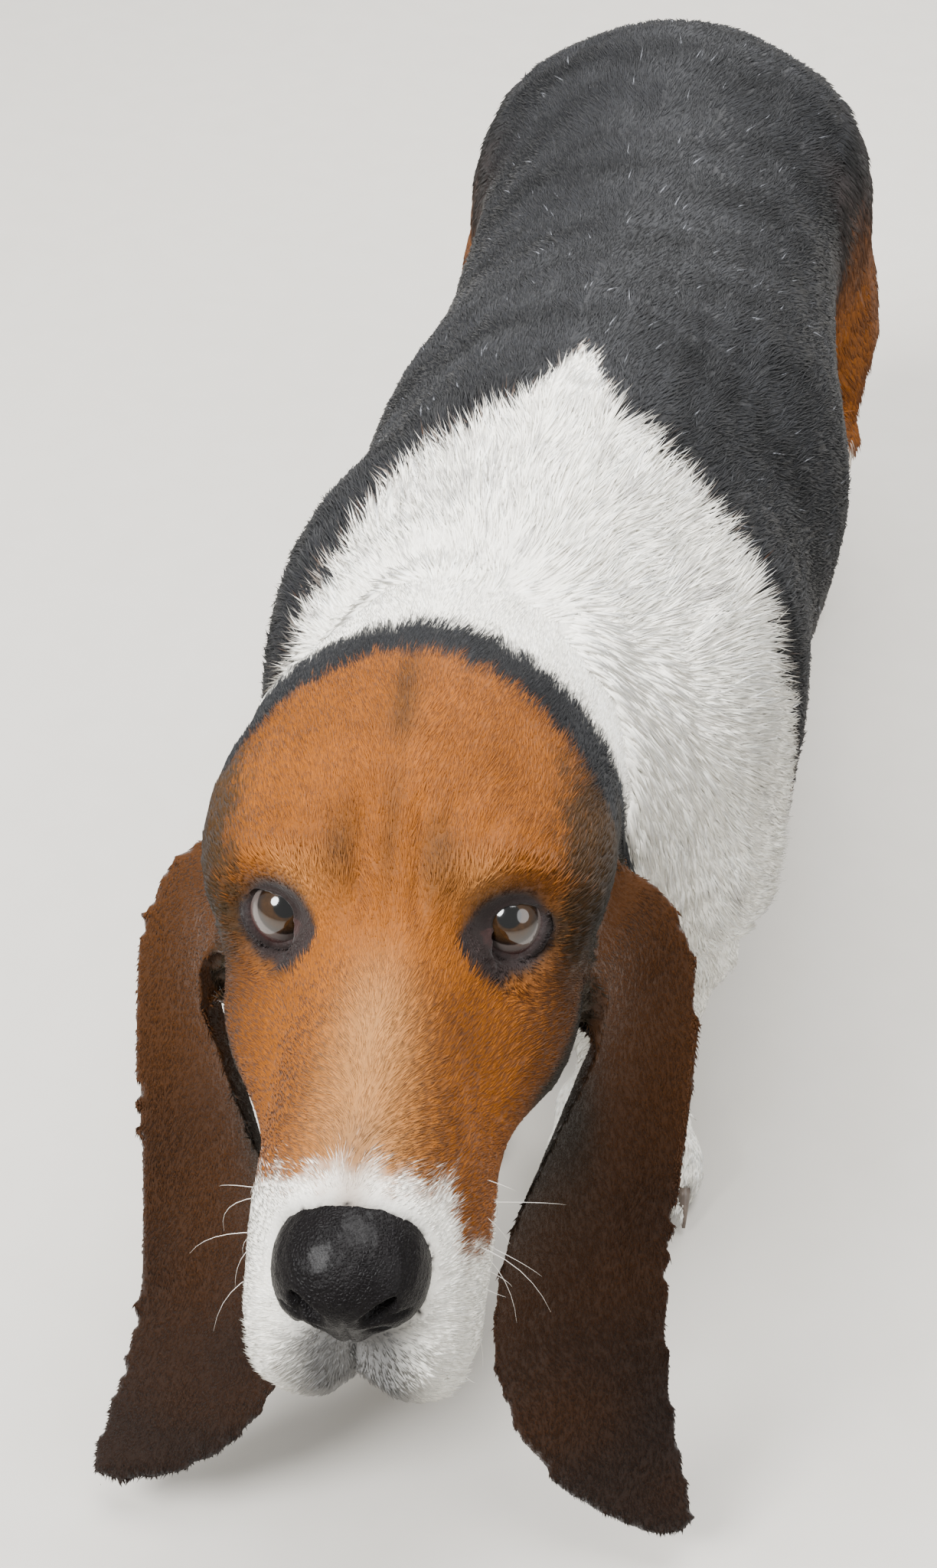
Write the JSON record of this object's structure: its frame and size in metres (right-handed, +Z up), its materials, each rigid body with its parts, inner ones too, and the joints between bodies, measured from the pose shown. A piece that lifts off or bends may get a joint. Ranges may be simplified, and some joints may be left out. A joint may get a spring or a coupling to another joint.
{
  "type": "basset hound",
  "caption": "Life-size standing basset hound, still, with its head low, long hanging ears and a hanging tail.",
  "frame": {"origin": "middle of the hound's box at floor level, under the belly", "axes": "+Z up, +Y from the nose to the tail, +X towards the hound's left side"},
  "size_m": [0.2438, 0.9026, 0.3678],
  "materials": {
    "black_coat": "short flat hair, soft sheen",
    "white_coat": "short hair, a little longer on the neck and chest",
    "tan_coat": "very short glossy hair",
    "ear_coat": "soft short hair on thin supple leather",
    "nose_leather": "moist, finely pebbled",
    "eye": "wet and clear"
  },
  "bodies": {
    "root": {"torso": "black_coat", "tail": "black_coat", "neck": "white_coat", "head": "tan_coat", "nose": "nose_leather", "eye_left": "eye", "eye_right": "eye", "ear_left": "ear_coat", "ear_right": "ear_coat", "shoulder_left": "white_coat", "shoulder_right": "white_coat", "foreleg_left": "white_coat", "foreleg_right": "white_coat", "forepaw_left": "white_coat", "forepaw_right": "white_coat", "haunch_left": "tan_coat", "haunch_right": "tan_coat", "hindleg_left": "white_coat", "hindleg_right": "white_coat", "hindpaw_left": "white_coat", "hindpaw_right": "white_coat"}
  },
  "joints": []
}
